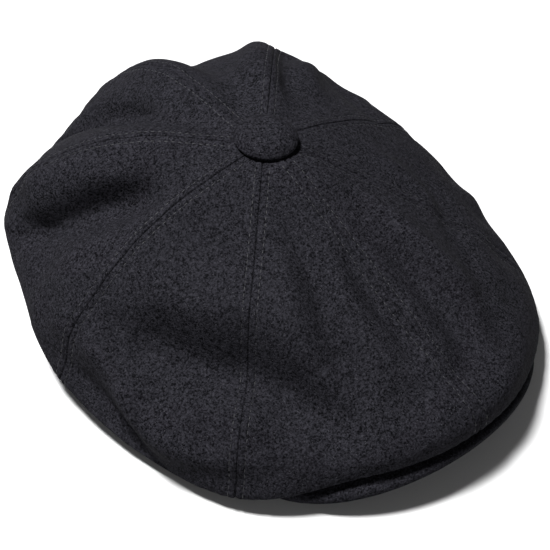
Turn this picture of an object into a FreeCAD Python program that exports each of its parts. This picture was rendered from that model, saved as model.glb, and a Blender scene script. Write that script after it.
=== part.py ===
import FreeCAD, Part
import math
import os

# Newsboy cap in wool, head size 57, lying on a table.
# The origin is the centre of the head opening at table height. The visor
# points to -Y, the wearer's left is +X and the button is on top, +Z.
# Lengths are in millimetres and angles in degrees.

# Head opening and band
head_length = 199.0          # inside the sweatband, front to back
head_width = 165.0           # inside the sweatband, side to side
sweatband_thickness = 1.0
sweatband_height = 33.0
stiffener_thickness = 0.8
stiffener_height = 25.0
stiffener_hem = 1.0          # stiffener's lower edge above the band's lower edge
outer_band_thickness = 1.6
outer_band_height = 27.0
band_lift = 26.5             # rise of the band's lower edge at the front
band_lift_start = 50.0       # where, behind the centre, the lower edge leaves the table

# Crown, eight gores. Each list runs from the front to the back in steps of
# 22.5 degrees, so every second value is on a seam. Both sides are alike.
panels_per_side = 4
crown_height = 104.0         # apex of the cloth over the table
crown_reach = [159.0, 154.0, 149.0, 135.0, 132.0, 130.0, 135.0, 139.0, 145.0]
fold_height = [31.0, 24.0, 12.0, 10.0, 16.0, 27.0, 33.5, 25.0, 27.0]
top_swell = [-10.0, -5.0, -7.0, 0.0, 5.0, 3.0, 13.0, 8.0, 16.0]
fold_roll = [2.2, 2.3, 2.2, 2.4, 3.5, 4.5, 4.5, 4.5, 4.5]
under_droop = [0.0, 0.0, 0.0, 1.0, 3.0, 4.0, 4.0, 4.0, 4.0]
under_lie = 2.5              # how long the underside stays low before it climbs to the band
roll_turn = 0.2              # share of the underside's turn in which the fold rolls under
dome_spread = 1.504          # exponents of the profile from the apex to the fold
dome_drop = 1.149
crown_cloth = 1.6
crown_seam_gap = 0.35        # between the gores' lower ends and the outer band
button_dimple = 1.2          # how far the button pulls the apex down
button_dimple_radius = 12.0
swell_start_radius = 30.0    # the swell fades out towards the button
apex_eye_radius = 2.5

# Lining, eight gores inside the crown
lining_thickness = 0.4
lining_gap = 2.6             # between the crown cloth and the lining
lining_short = 10.0          # the lining's own fold stays inside the crown's by this much
lining_lift = 7.0            # and higher than it by this much
lining_over = 6.0            # where the lining passes over the band's top edge
lining_rise = 4.5            # its height over that edge at the sweatband

# Visor
visor_half_width = 93.5
visor_widest_y = -96.5
visor_reach = 69.0           # from the widest line to the front edge
visor_tip_y = -48.0          # where the visor's ends meet the band
visor_root_height = 28.0     # middle of the visor's thickness at the band, on the centre line
visor_slope = 5.0
visor_arch_radius = 190.0
visor_board_thickness = 2.2
visor_cloth = 1.5
visor_edge_turn = 2.2        # cloth round the board's edge
visor_clearance = 1.2        # between the band and the visor's inner edge
visor_seam_play = 0.1        # the seam strip's play on either side
visor_seam_height = 2.4

# Covered button
button_diameter = 33.0
button_height = 9.5
button_cloth = 1.0
button_shell_thickness = 0.5
button_shell_rim = 2.0       # height of the shell's rim over the button's underside
button_tuck = 4.0            # cloth turned in under the rim
button_back_thickness = 0.6
button_play = 0.15
shank_radius = 2.0
shank_wall = 0.5
shank_flare_radius = 3.6
washer_radius = 6.0
washer_thickness = 0.6
washer_play = 0.4            # between the washer and the cloth over it

# Press stud between the crown and the visor
snap_y = -132.0
snap_radius = 5.0
snap_flange = 0.6
snap_socket_height = 1.9
snap_head_radius = 1.9
snap_bore_clearance = 0.45
snap_gap = 0.3               # between the socket's edge and the cloth above it
snap_head_clearance = 0.3    # between the stud's head and the bottom of the bore
snap_hole_radius = 0.6
snap_hole_circle = 4.1
snap_seat = 0.05             # between the stud's flange and the visor's cloth

step_angle = 22.5
stations_per_panel = 5
sewing_tolerance = 0.0001
reach_far = 400.0            # longer than the cap, for cutting tools


def vec(x, y, z):
    return FreeCAD.Vector(x, y, z)


def around(values, angle):
    """Value of a front-to-back list at an angle from the front, on either side."""
    nodes = values + values[-2:0:-1]
    place = (angle % 360.0) / step_angle
    index = int(place)
    f = place - index
    a, b, c, d = (nodes[(index + k) % len(nodes)] for k in (-1, 0, 1, 2))
    bend = (2 * a - 5 * b + 4 * c - d) * f + (3 * (b - c) + d - a) * f * f
    return b + 0.5 * f * (c - a + bend)


def oval_radius(length, width, angle):
    """Distance from the centre to an oval, at an angle from the front."""
    a = math.radians(angle)
    return 1.0 / math.hypot(2 * math.cos(a) / length, 2 * math.sin(a) / width)


# The ovals of the band's layers, from the head outwards
def layer_oval(offset):
    return head_length + 2 * offset, head_width + 2 * offset


stiffener_offset = sweatband_thickness
outer_band_offset = stiffener_offset + stiffener_thickness
band_face_offset = outer_band_offset + outer_band_thickness
band_front_y = -layer_oval(band_face_offset)[0] / 2
lift_run = band_lift_start - band_front_y
lift_radius = (lift_run ** 2 + band_lift ** 2) / (2 * band_lift)


def band_rise(y):
    """Height of the band's lower edge: flat behind, an arc up to the front."""
    run = max(0.0, band_lift_start - y)
    return lift_radius - math.sqrt(lift_radius ** 2 - run ** 2)


def band_layer(offset, thickness, low, height):
    """An oval wall between two lines that follow the band's lower edge."""
    walls = []
    for extra in (offset, offset + thickness):
        length, width = layer_oval(extra)
        oval = Part.Ellipse(vec(0, length / 2, 0), vec(-width / 2, 0, 0), vec(0, 0, 0))
        face = Part.Face(Part.Wire(oval.toShape()))
        walls.append(face.extrude(vec(0, 0, reach_far)))
    wall = walls[1].cut(walls[0])

    front_y = band_front_y - 10.0
    middle_y = 0.5 * (front_y + band_lift_start)
    edges = []
    ends = []
    for level in (low, low + height):
        flat_end = vec(-reach_far, reach_far, level)
        start = vec(-reach_far, band_lift_start, level)
        middle = vec(-reach_far, middle_y, level + band_rise(middle_y))
        end = vec(-reach_far, front_y, level + band_rise(front_y))
        edges.append(Part.makeLine(flat_end, start))
        edges.append(Part.Arc(start, middle, end).toShape())
        ends.append((flat_end, end))
    edges.append(Part.makeLine(ends[0][0], ends[1][0]))
    edges.append(Part.makeLine(ends[0][1], ends[1][1]))
    strip = Part.Face(Part.Wire(Part.__sortEdges__(edges)))
    return wall.common(strip.extrude(vec(2 * reach_far, 0, 0)))


def crown_skin(angle, t):
    """Outer skin of the crown: t from 0 at the apex to 1 at the fold and 2 at the band."""
    reach = around(crown_reach, angle)
    fold = around(fold_height, angle)
    if t <= 1.0:
        turn = t * math.pi / 2
        spread = math.sin(turn) ** dome_spread
        drop = max(0.0, math.cos(turn)) ** dome_drop
        radius = apex_eye_radius + (reach - apex_eye_radius) * spread
        swell = around(top_swell, angle) * math.sin(math.pi * t) ** 2
        swell *= 1.0 - math.exp(-(radius / swell_start_radius) ** 2)
        dimple = button_dimple * math.exp(-(radius / button_dimple_radius) ** 2)
        return radius, fold + (crown_height - fold) * drop + swell - dimple
    turn = (t - 1.0) * math.pi / 2
    oval = layer_oval(band_face_offset)
    end_radius = oval_radius(oval[0], oval[1], angle) + crown_seam_gap
    end_y = -end_radius * math.cos(math.radians(angle))
    top = outer_band_height + band_rise(end_y)
    radius = end_radius + (reach - end_radius) * math.cos(turn)
    climb = (top - fold) * (1.0 - math.cos(turn)) ** under_lie
    roll = around(fold_roll, angle) * math.tanh(turn / roll_turn)
    return radius, fold + climb - roll - around(under_droop, angle) * math.sin(2 * turn)


def skin_normal(angle, t):
    """Unit vector from the skin into the crown, in the plane of the profile."""
    step = 0.01
    r0, z0 = crown_skin(angle, max(0.0, t - step))
    r1, z1 = crown_skin(angle, min(2.0, t + step))
    length = math.hypot(r1 - r0, z1 - z0)
    return (z1 - z0) / length, -(r1 - r0) / length


top_steps = 9
under_stops = [0.0, 0.07, 0.15, 0.26, 0.4, 0.55, 0.7, 0.85, 1.0]
profile_stops = [i / top_steps for i in range(top_steps)]
profile_stops += [1.0 + stop for stop in under_stops]


def skin_line(angle, depth):
    """Points of the profile at a depth under the skin."""
    points = []
    for t in profile_stops:
        radius, height = crown_skin(angle, t)
        nr, nz = skin_normal(angle, t)
        if t == 0.0:
            nr, nz = 0.0, -1.0
        points.append((radius + depth * nr, height + depth * nz))
    return points


def crown_section(angle):
    return skin_line(angle, 0.0), skin_line(angle, crown_cloth)


def lining_section(angle):
    """The lining hangs inside the crown, turns early and comes in to the sweatband."""
    oval = layer_oval(stiffener_offset)
    end_radius = oval_radius(oval[0], oval[1], angle) + crown_seam_gap
    end_y = -end_radius * math.cos(math.radians(angle))
    rim = outer_band_height + band_rise(end_y)
    lines = []
    for depth in (crown_cloth + lining_gap, crown_cloth + lining_gap + lining_thickness):
        inset = depth - crown_cloth - lining_gap
        hung = skin_line(angle, depth)
        line = hung[:top_steps - 1]
        line.append((around(crown_reach, angle) - lining_short - inset,
                     around(fold_height, angle) + lining_lift))
        line += hung[-4:-2]
        line.append((end_radius + lining_over, rim + 0.6 * lining_rise + inset))
        line.append((end_radius, rim + lining_rise + inset))
        lines.append(line)
    return lines


def chord_stops(section):
    """Parameters along a profile in step with its length, the same for every gore."""
    line = section(90.0)[0]
    stops = [0.0]
    for a, b in zip(line, line[1:]):
        stops.append(stops[-1] + math.hypot(b[0] - a[0], b[1] - a[1]))
    return stops


def skin_curve(angle, line, stops):
    """A profile as one smooth curve in the upright plane at an angle."""
    a = math.radians(angle)
    curve = Part.BSplineCurve()
    points = [vec(r * math.sin(a), -r * math.cos(a), z) for r, z in line]
    curve.interpolate(Points=points, Parameters=stops)
    return curve


def skin_surface(angles, lines, stops):
    """One skin of a gore, smooth through its profiles and across them."""
    profiles = [skin_curve(angle, line, stops) for angle, line in zip(angles, lines)]
    across_stops = [i / (len(angles) - 1) for i in range(len(angles))]
    rows = []
    for poles in zip(*[profile.getPoles() for profile in profiles]):
        across = Part.BSplineCurve()
        across.interpolate(Points=list(poles), Parameters=across_stops)
        rows.append(across.getPoles())
    along = profiles[0]
    surface = Part.BSplineSurface()
    surface.buildFromPolesMultsKnots([list(column) for column in zip(*rows)],
                                     across.getMultiplicities(), along.getMultiplicities(),
                                     across.getKnots(), along.getKnots(), False, False,
                                     across.Degree, along.Degree)
    return surface


def gore(first_angle, last_angle, section):
    """A closed gore: two skins, two flat sides on the seams and two narrow ends."""
    step = (last_angle - first_angle) / (stations_per_panel - 1)
    angles = [first_angle + i * step for i in range(stations_per_panel)]
    sections = [section(angle) for angle in angles]
    stops = chord_stops(section)
    skins = [skin_surface(angles, [s[side] for s in sections], stops) for side in (0, 1)]
    faces = [skin.toShape() for skin in skins]
    same_way = 1
    for which in (0, 1):
        seam = [skin.uIso(skin.bounds()[which]).toShape() for skin in skins]
        faces.append(Part.makeRuledSurface(seam[0], seam[1], same_way))
        end = [skin.vIso(skin.bounds()[2 + which]).toShape() for skin in skins]
        faces.append(Part.makeRuledSurface(end[0], end[1], same_way))
    shell = Part.Compound(faces)
    shell.sewShape()
    solid = Part.Solid(shell.Shells[0])
    solid.fix(sewing_tolerance, sewing_tolerance, 10 * sewing_tolerance)
    return solid


def visor_outline(inset):
    """Plan of the visor: front curve, rounded ends and the edge along the band."""
    half = visor_half_width - inset
    reach = visor_reach - inset
    tip_y = visor_tip_y - inset
    length, width = layer_oval(band_face_offset + visor_clearance + inset)
    turn = math.acos(2 * tip_y / length)
    tip_x = 0.5 * width * math.sin(turn)
    front = Part.Ellipse(vec(half, visor_widest_y, 0), vec(0, visor_widest_y + reach, 0),
                         vec(0, visor_widest_y, 0))
    edges = [Part.ArcOfEllipse(front, math.pi, 2 * math.pi).toShape()]
    for side in (-1, 1):
        centre = vec(side * tip_x, visor_widest_y, 0)
        tip = vec(side * tip_x, tip_y, 0)
        corner = vec(side * tip_x - (half - tip_x), visor_widest_y, 0)
        end = Part.Ellipse(tip, corner, centre)
        turns = (-0.5 * math.pi, 0.0) if side > 0 else (0.0, 0.5 * math.pi)
        edges.append(Part.ArcOfEllipse(end, turns[0], turns[1]).toShape())
    root = Part.Ellipse(vec(0, length / 2, 0), vec(-width / 2, 0, 0), vec(0, 0, 0))
    edges.append(Part.ArcOfEllipse(root, turn, 2 * math.pi - turn).toShape())
    return Part.Face(Part.Wire(Part.__sortEdges__(edges)))


slope_rise = math.tan(math.radians(visor_slope))


def visor_slab(low, high):
    """A layer of the arched visor between two depths from its middle surface."""
    back_y = 0.0
    arcs = []
    ends = []
    half = 0.75 * visor_arch_radius
    for depth in (low, high):
        radius = visor_arch_radius + depth
        base = visor_root_height - visor_arch_radius + slope_rise * (back_y - band_front_y)
        drop = math.sqrt(radius ** 2 - half ** 2)
        left, right = vec(-half, back_y, base + drop), vec(half, back_y, base + drop)
        arcs.append(Part.Arc(left, vec(0, back_y, base + radius), right).toShape())
        ends.append((left, right))
    sides = [Part.makeLine(ends[0][i], ends[1][i]) for i in (0, 1)]
    face = Part.Face(Part.Wire(Part.__sortEdges__(arcs + sides)))
    return face.extrude(vec(0, -reach_far, -reach_far * slope_rise))


def visor_piece(inset, low, high):
    plan = visor_outline(inset)
    plan.translate(vec(0, 0, -reach_far))
    return plan.extrude(vec(0, 0, 2 * reach_far)).common(visor_slab(low, high))


def visor_height(y, depth):
    """Height of a surface of the visor on its centre line."""
    return visor_root_height + depth + slope_rise * (y - band_front_y)


def turned(outline):
    """A solid of revolution about Z from corners (radius, height) and arcs through a middle point."""
    edges = []
    for start, middle, end in outline:
        a, b = vec(start[0], 0, start[1]), vec(end[0], 0, end[1])
        if middle is None:
            edges.append(Part.makeLine(a, b))
        else:
            edges.append(Part.Arc(a, vec(middle[0], 0, middle[1]), b).toShape())
    return Part.Face(Part.Wire(edges)).revolve(vec(0, 0, 0), vec(0, 0, 1), 360)


def ring(inner, outer, low, high):
    tube = Part.makeCylinder(outer, high - low, vec(0, 0, low))
    return tube.cut(Part.makeCylinder(inner, high - low, vec(0, 0, low)))


def dome_arc(inset):
    """The button's dome at a depth under its skin, from the centre to the rim."""
    rim = 0.5 * button_diameter - inset
    top = button_height - inset
    rise = top - button_shell_rim
    sphere = (rim ** 2 + rise ** 2) / (2 * rise)
    half_turn = 0.5 * math.asin(rim / sphere)
    middle = (sphere * math.sin(half_turn), top - sphere * (1 - math.cos(half_turn)))
    return (0.0, top), middle, (rim, button_shell_rim)


def save(shape, node, place=None):
    solid = shape.Solids[0] if len(shape.Solids) == 1 else shape
    if place is not None:
        solid.Placement = place.multiply(solid.Placement)
    solid.exportStep("parts/" + node + ".step")


def build_crown():
    names = ["front", "side_front", "side_back", "back"]
    width = 180.0 / panels_per_side
    for i, name in enumerate(names):
        for side, first in (("left", i * width), ("right", -(i + 1) * width)):
            save(gore(first, first + width, crown_section), f"crown_panel_{name}_{side}")
            save(gore(first, first + width, lining_section), f"lining_panel_{name}_{side}")


def build_band():
    save(band_layer(0.0, sweatband_thickness, 0.0, sweatband_height), "sweatband")
    save(band_layer(stiffener_offset, stiffener_thickness, stiffener_hem, stiffener_height),
         "band_stiffener")
    save(band_layer(outer_band_offset, outer_band_thickness, 0.0, outer_band_height),
         "outer_band")


def build_visor():
    half = 0.5 * visor_board_thickness
    board = visor_piece(visor_edge_turn, -half, half)
    save(board, "visor_board")
    save(visor_piece(0.0, 0.0, half + visor_cloth).cut(board), "visor_top_cover")
    save(visor_piece(0.0, -half - visor_cloth, 0.0).cut(board), "visor_under_cover")

    strip = band_layer(band_face_offset + visor_seam_play,
                       visor_clearance - 2 * visor_seam_play, 0.0, reach_far / 2)
    half_seam = 0.5 * visor_seam_height
    front = Part.makeBox(reach_far, reach_far, reach_far,
                         vec(-reach_far / 2, visor_tip_y - reach_far, 0))
    save(strip.common(visor_slab(-half_seam, half_seam)).common(front), "visor_seam_strip")


def button_seat():
    """Highest point of the crown cloth under the button."""
    heights = []
    for step in range(16):
        for t in [i / 100 for i in range(20)]:
            radius, height = crown_skin(step * step_angle, t)
            if radius < 0.5 * button_diameter:
                heights.append(height)
    return max(heights)


def build_button():
    base = button_seat() + button_play
    place = FreeCAD.Placement(vec(0, 0, base), FreeCAD.Rotation())
    top, middle, rim = dome_arc(0.0)
    in_top, in_middle, in_rim = dome_arc(button_cloth)
    roll = (rim[0] - 0.3 * rim[1], 0.3 * rim[1])
    foot = (rim[0] - rim[1], 0.0)
    tuck = (rim[0] - button_tuck, 0.0)
    tuck_top = (tuck[0], button_cloth)
    turn_in = (in_rim[0], button_cloth)
    cover = turned([(top, middle, rim), (rim, roll, foot), (foot, None, tuck),
                    (tuck, None, tuck_top), (tuck_top, None, turn_in),
                    (turn_in, None, in_rim), (in_rim, in_middle, in_top),
                    (in_top, None, top)])
    save(cover, "button_cover", place)

    low_top, low_middle, low_rim = dome_arc(button_cloth + button_shell_thickness)
    shell = turned([(in_top, in_middle, in_rim), (in_rim, None, low_rim),
                    (low_rim, low_middle, low_top), (low_top, None, in_top)])
    save(shell, "button_shell", place)

    plate_radius = low_rim[0] - button_back_thickness
    plate_top = button_cloth + button_back_thickness
    plate = ring(shank_radius, plate_radius, button_cloth, plate_top)
    save(plate, "button_back", place)

    bore = shank_radius - shank_wall
    eye_height = crown_skin(0.0, 0.0)[1]
    washer_low = eye_height - base - crown_cloth - washer_play - washer_thickness
    head_top = plate_top + shank_wall
    shank = ring(bore, shank_radius, washer_low - shank_wall, plate_top)
    shank = shank.fuse(ring(bore, shank_flare_radius, plate_top, head_top))
    shank = shank.fuse(ring(bore, shank_flare_radius, washer_low - shank_wall, washer_low))
    save(shank.removeSplitter(), "button_shank", place)
    washer = ring(shank_radius, washer_radius, washer_low, washer_low + washer_thickness)
    save(washer, "button_washer", place)


def sewing_holes(height):
    holes = []
    for i in range(4):
        a = math.radians(45 + 90 * i)
        spot = vec(snap_hole_circle * math.cos(a), snap_hole_circle * math.sin(a), -height)
        holes.append(Part.makeCylinder(snap_hole_radius, 3 * height, spot))
    return Part.makeCompound(holes)


def cloth_over(y):
    """Height of the crown's underside over a point of the centre line in front."""
    below = [crown_skin(0.0, 1.0 + i / 400.0) for i in range(401)]
    return min(below, key=lambda point: abs(point[0] + y))[1]


def build_snap():
    """Both halves stand on one axis, square to the visor."""
    surface = visor_height(snap_y, 0.5 * visor_board_thickness + visor_cloth) + snap_seat
    ends = [cloth_over(snap_y + side * snap_radius) for side in (-1, 1)]
    cloth_slope = (ends[1] - ends[0]) / (2 * snap_radius)
    gap = snap_gap + snap_radius * abs(cloth_slope - slope_rise)
    room = (cloth_over(snap_y) - surface) * math.cos(math.radians(visor_slope)) - gap

    bore = snap_head_radius + snap_bore_clearance
    socket = Part.makeCylinder(snap_radius, snap_flange)
    socket = socket.cut(sewing_holes(snap_flange))
    socket = socket.fuse(Part.makeCylinder(bore + snap_flange, snap_socket_height))
    socket = socket.cut(Part.makeCylinder(bore, snap_socket_height, vec(0, 0, snap_flange)))
    socket.rotate(vec(0, 0, 0), vec(1, 0, 0), 180)
    socket.translate(vec(0, 0, room))

    head_height = room - snap_flange - snap_head_clearance
    stud = Part.makeCylinder(snap_radius, snap_flange).cut(sewing_holes(snap_flange))
    head = Part.makeCylinder(snap_head_radius, head_height)
    stud = stud.fuse(head.makeFillet(0.2 * snap_head_radius, [head.Edges[0]]))
    for half, node in ((socket, "snap_socket"), (stud, "snap_stud")):
        half.rotate(vec(0, 0, 0), vec(1, 0, 0), visor_slope)
        half.translate(vec(0, snap_y, surface))
        save(half, node)


os.makedirs("parts", exist_ok=True)
build_crown()
build_band()
build_visor()
build_button()
build_snap()
print("button top", round(button_seat() + button_play + button_height, 2))
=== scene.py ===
import math

import bpy
import numpy as np
from mathutils import Matrix, Vector, noise


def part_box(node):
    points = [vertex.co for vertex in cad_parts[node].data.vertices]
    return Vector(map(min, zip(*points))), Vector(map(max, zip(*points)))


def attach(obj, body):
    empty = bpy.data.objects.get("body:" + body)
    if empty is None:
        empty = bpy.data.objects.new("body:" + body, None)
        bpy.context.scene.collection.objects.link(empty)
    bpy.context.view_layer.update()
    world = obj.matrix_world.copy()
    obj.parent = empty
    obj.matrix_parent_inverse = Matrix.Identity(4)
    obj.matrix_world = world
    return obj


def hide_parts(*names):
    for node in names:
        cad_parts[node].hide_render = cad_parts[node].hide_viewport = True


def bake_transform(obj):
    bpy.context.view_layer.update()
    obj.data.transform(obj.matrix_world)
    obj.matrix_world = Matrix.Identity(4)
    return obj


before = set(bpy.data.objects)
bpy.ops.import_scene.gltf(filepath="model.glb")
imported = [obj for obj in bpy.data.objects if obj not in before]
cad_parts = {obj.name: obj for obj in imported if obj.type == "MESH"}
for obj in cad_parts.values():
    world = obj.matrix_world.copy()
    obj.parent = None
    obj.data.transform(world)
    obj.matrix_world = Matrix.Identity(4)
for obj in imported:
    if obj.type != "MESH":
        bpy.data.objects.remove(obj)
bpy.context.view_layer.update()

# Eight-gore newsboy cap in black wool. Shapes are worked out in millimetres
# and angles run from the front (-Y) towards the wearer's left (+X).
mm = 0.001
print("frame loaded,", len(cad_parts), "nodes")


# the lists give a value each 22.5 degrees, from the front
crown = {
    "apex": (-2.2, -1.7),
    "height": 104.0,
    "reach": [159, 156, 149, 133, 133, 134, 138, 141, 145, 138, 138, 129, 133, 138, 150, 152],
    "foldHeight": [29, 21.5, 11, 9, 15, 27, 34, 26, 27, 24, 33, 28, 17, 10, 10, 22],
    "swell": [-10, -5, -8, -1, 1, 1, 14, 9, 16, 7, 13, 4, 9, 0, -6, -5],
    "foldRoll": [3.7, 4.0, 2.8, 2.0, 3.5, 4.5, 4.5, 4.5, 4.5, 4.5, 4.5, 4.5, 3.5, 2.4, 3.4, 4.0],
    "underDroop": [0, 0, 0, 1, 3, 4, 4, 4, 4, 4, 4, 4, 3, 1, 0, 0],
    "spread": 1.504,
    "drop": 1.149,
    "underLie": 2.5,
    "rollTurn": 0.2,
    "eye": 2.5,
    "swellStart": 30.0,
    "dimple": 1.2,
    "dimpleRadius": 12.0,
    "cloth": 1.6,
    "seamGap": 0.35,
    "rows": 176,
    "middleColumns": 30,
    "turnWeight": 9,
    "rimFade": 0.10,
    "visorSide": 1.5,
    "visorFade": 0.3,
}

band = {
    "headLength": 199.0,
    "headWidth": 165.0,
    "faceOffset": 3.4,
    "outerCloth": 1.6,
    "outerHeight": 27.0,
    "sweatCloth": 1.0,
    "sweatHeight": 33.0,
    "liftRadius": 454.3,
    "liftStart": 50.0,
    "around": 288,
    "meanRadius": 95.0,
    "outerFlat": (0.594, 0.027),
    "sweatFlat": (0.575, 0.033),
}


def cubic(a, b, c, d, f):
    # smooth value at f between b and c, with a before them and d after
    return b + 0.5 * f * (c - a + (2 * a - 5 * b + 4 * c - d) * f + (3 * (b - c) + d - a) * f * f)


def runLength(points):
    return np.concatenate([[0], np.cumsum(np.linalg.norm(np.diff(points, axis=0), axis=1))])


def noiseAt(points, size, shift=(0, 0, 0)):
    # waves about this many mm long, at each point of a list or grid of points
    flat = points.reshape(-1, 3)
    values = [noise.noise(Vector(p) / size + Vector(shift)) for p in flat]
    return np.array(values).reshape(points.shape[:-1])


def around(values, angle):
    # smooth value at any angle of a list that gives one value each 22.5 degrees
    values = np.asarray(values, dtype=float)
    count = len(values)
    place = np.mod(angle, 2 * np.pi) / (2 * np.pi) * count
    index = np.floor(place).astype(int)
    return cubic(*(values[(index + k) % count] for k in (-1, 0, 1, 2)), place - index)


def ovalRadius(offset, angle):
    long = band["headLength"] / 2 + offset
    wide = band["headWidth"] / 2 + offset
    return 1 / np.hypot(np.cos(angle) / long, np.sin(angle) / wide)


def bandRise(y):
    run = np.maximum(0, band["liftStart"] - y)
    return band["liftRadius"] - np.sqrt(band["liftRadius"] ** 2 - run ** 2)


def heading(angle):
    return np.stack([np.sin(angle), -np.cos(angle)], axis=-1)


def crownSkin(angle, t):
    # t is 0 at the button, 1 at the fold and 2 at the band
    angle, t = np.broadcast_arrays(np.asarray(angle, float), np.asarray(t, float))
    way = heading(angle)
    reach = around(crown["reach"], angle)
    fold = around(crown["foldHeight"], angle)
    apex = np.array(crown["apex"])

    turn = np.minimum(t, 1) * np.pi / 2
    spread = np.sin(turn) ** crown["spread"]
    drop = np.maximum(np.cos(turn), 0) ** crown["drop"]
    edge = way * reach[..., None]
    eye = apex + way * crown["eye"]
    plan = eye + (edge - eye) * spread[..., None]
    radius = crown["eye"] + (reach - crown["eye"]) * spread
    swell = around(crown["swell"], angle) * np.sin(np.pi * np.minimum(t, 1)) ** 2
    swell *= 1 - np.exp(-(radius / crown["swellStart"]) ** 2)
    height = fold + (crown["height"] - fold) * drop + swell
    height -= crown["dimple"] * np.exp(-(radius / crown["dimpleRadius"]) ** 2)
    over = np.concatenate([plan, height[..., None]], axis=-1)

    turn = np.maximum(t - 1, 0) * np.pi / 2
    end = ovalRadius(band["faceOffset"], angle) + crown["seamGap"]
    top = band["outerHeight"] + bandRise(-end * np.cos(angle))
    radius = end + (reach - end) * np.cos(turn)
    height = fold + (top - fold) * (1 - np.cos(turn)) ** crown["underLie"]
    height -= around(crown["foldRoll"], angle) * np.tanh(turn / crown["rollTurn"])
    height -= around(crown["underDroop"], angle) * np.sin(2 * turn)
    under = np.concatenate([way * radius[..., None], height[..., None]], axis=-1)
    return np.where(t[..., None] <= 1, over, under)


def unit(vectors):
    return vectors / np.maximum(np.linalg.norm(vectors, axis=-1, keepdims=True), 1e-9)


def skinNormal(angle, t):
    turn, step = 0.01, 0.004
    sideways = crownSkin(angle + turn, t) - crownSkin(angle - turn, t)
    down = crownSkin(angle, np.minimum(t + step, 2)) - crownSkin(angle, np.maximum(t - step, 0))
    return unit(np.cross(down, sideways))


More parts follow.
